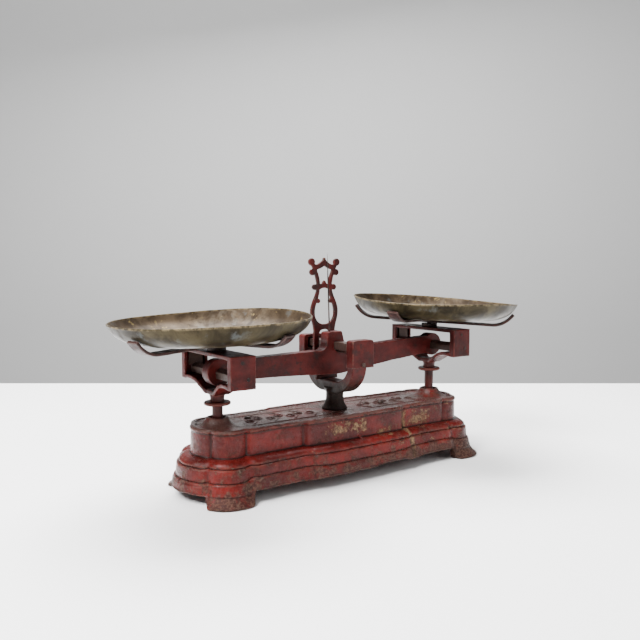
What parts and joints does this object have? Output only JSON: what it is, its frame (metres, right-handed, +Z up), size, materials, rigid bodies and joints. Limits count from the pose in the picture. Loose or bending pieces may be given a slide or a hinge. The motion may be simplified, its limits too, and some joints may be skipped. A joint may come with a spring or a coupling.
{
  "type": "bench scale",
  "caption": "Antique counter scale: brass pans on crossed iron straps over an equal-armed knife-edge beam, with a cast lyre and needle, on a hollow moulded cast base.",
  "frame": {"origin": "on the floor, under the middle of the base and of the whole scale", "axes": "+X along the beam to the right-hand pan, +Y to the rear, where the lyre stands, +Z up"},
  "size_m": [0.6902, 0.2746, 0.3296],
  "materials": {
    "base_paint": "worn dark red enamel over cast iron",
    "beam_paint": "dark maroon enamel, rubbed at the edges",
    "dark_iron": "blackened, greasy cast iron",
    "frame_paint": "dark maroon enamel over cast iron",
    "strap_iron": "blackened wrought strap with traces of red paint",
    "steel": "dull, browned steel",
    "pan_brass": "spun brass with an olive brown patina"
  },
  "bodies": {
    "base": {"base_casting": "base_paint", "left_plate_screw": "steel", "right_plate_screw": "steel", "column_fork": "dark_iron", "front_fork_bearing": "steel", "front_bearing_pin": "steel", "rear_fork_bearing": "steel", "rear_bearing_pin": "steel", "column_washer": "dark_iron", "column_nut": "dark_iron", "indicator_frame": "frame_paint", "indicator_screws": "steel", "front_stay_bracket": "dark_iron", "rear_stay_bracket": "dark_iron", "stay_bracket_screws": "steel", "stay_pivot_pin": "steel"},
    "beam": {"beam": "beam_paint", "centre_knife": "steel", "left_end_knife": "steel", "right_end_knife": "steel", "needle": "steel", "needle_screw": "steel"},
    "stay": {"stay_bar": "dark_iron"},
    "left_carrier": {"left_carrier_frame": "beam_paint", "left_knife_bearings": "steel", "left_bearing_rivets": "steel", "left_stem": "beam_paint", "left_dust_disc": "strap_iron", "left_link_pin": "steel", "left_spider_hub": "strap_iron", "left_spider_bolt": "steel", "left_lower_strap": "strap_iron", "left_upper_strap": "strap_iron"},
    "left_pan": {"left_pan": "pan_brass"},
    "right_carrier": {"right_carrier_frame": "beam_paint", "right_knife_bearings": "steel", "right_bearing_rivets": "steel", "right_stem": "beam_paint", "right_dust_disc": "strap_iron", "right_link_pin": "steel", "right_spider_hub": "strap_iron", "right_spider_bolt": "steel", "right_lower_strap": "strap_iron", "right_upper_strap": "strap_iron"},
    "right_pan": {"right_pan": "pan_brass"}
  },
  "joints": [
    {"name": "beam_tilt", "type": "hinge", "parent": "base", "child": "beam", "pos_m": [0, 0, 0.18], "axis": [0, 1, 0], "range_deg": [-4, 8]},
    {"name": "left_carrier_level", "type": "hinge", "parent": "beam", "child": "left_carrier", "pos_m": [-0.19988, 0, 0.17309], "axis": [0, 1, 0], "range_deg": [-8, 4]},
    {"name": "right_carrier_level", "type": "hinge", "parent": "beam", "child": "right_carrier", "pos_m": [0.19988, 0, 0.18691], "axis": [0, 1, 0], "range_deg": [-8, 4]},
    {"name": "stay_tilt", "type": "hinge", "parent": "base", "child": "stay", "pos_m": [0, 0, 0.05], "axis": [0, 1, 0], "range_deg": [-4, 8]},
    {"name": "left_pan_lift", "type": "slide", "parent": "left_carrier", "child": "left_pan", "axis": [0, 0, 1], "range_m": [0, 0.03]},
    {"name": "right_pan_lift", "type": "slide", "parent": "right_carrier", "child": "right_pan", "axis": [0, 0, 1], "range_m": [0, 0.03]}
  ],
  "couplings": [
    {"joint": "left_carrier_level", "follows": "beam_tilt", "ratio": -1},
    {"joint": "right_carrier_level", "follows": "beam_tilt", "ratio": -1},
    {"joint": "stay_tilt", "follows": "beam_tilt", "ratio": 1}
  ]
}
